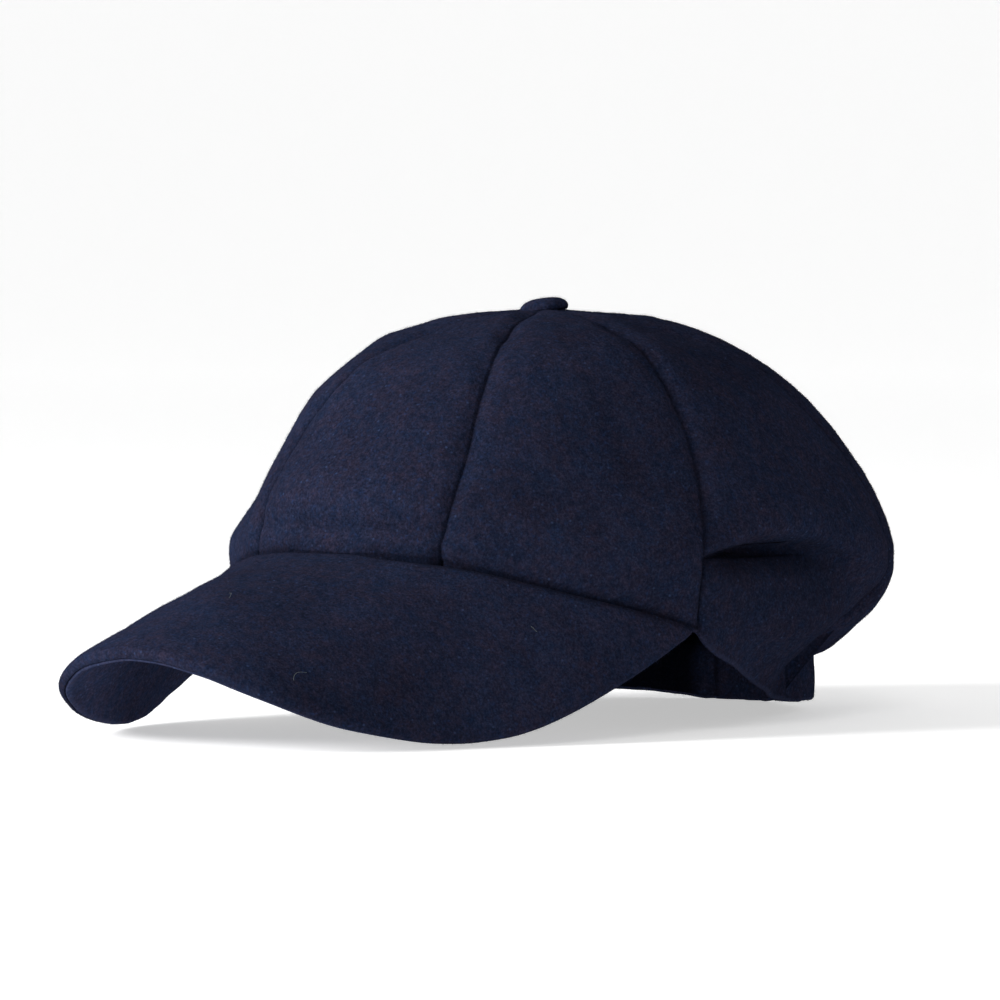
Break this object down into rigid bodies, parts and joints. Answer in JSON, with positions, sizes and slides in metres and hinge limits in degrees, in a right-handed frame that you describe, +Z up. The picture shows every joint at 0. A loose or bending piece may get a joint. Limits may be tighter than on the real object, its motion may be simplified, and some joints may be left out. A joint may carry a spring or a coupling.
{
  "type": "peaked cap",
  "caption": "Soft wool cap with a panelled round crown, covered button, curved stiffened peak and an elasticated, gathered back.",
  "frame": {"origin": "bottom centre of the bounding box, on the surface the cap rests on", "axes": "+Z up; the peak points towards -Y; +X is the wearer's left, and the cap is the same on both sides of X = 0"},
  "size_m": [0.165, 0.2746, 0.1133],
  "materials": {
    "crown_wool": "brushed felted wool, matt with a fine nap",
    "peak_wool": "brushed felted wool, matt with a fine nap",
    "under_wool": "brushed felted wool, matt with a fine nap",
    "button_wool": "brushed felted wool, matt with a fine nap"
  },
  "bodies": {
    "root": {"panel_front": "crown_wool", "panel_front_left": "crown_wool", "panel_front_right": "crown_wool", "panel_side_left": "crown_wool", "panel_side_right": "crown_wool", "panel_back_left": "crown_wool", "panel_back_right": "crown_wool", "panel_back": "crown_wool", "peak_top": "peak_wool", "peak_under": "under_wool", "button": "button_wool"}
  },
  "joints": []
}
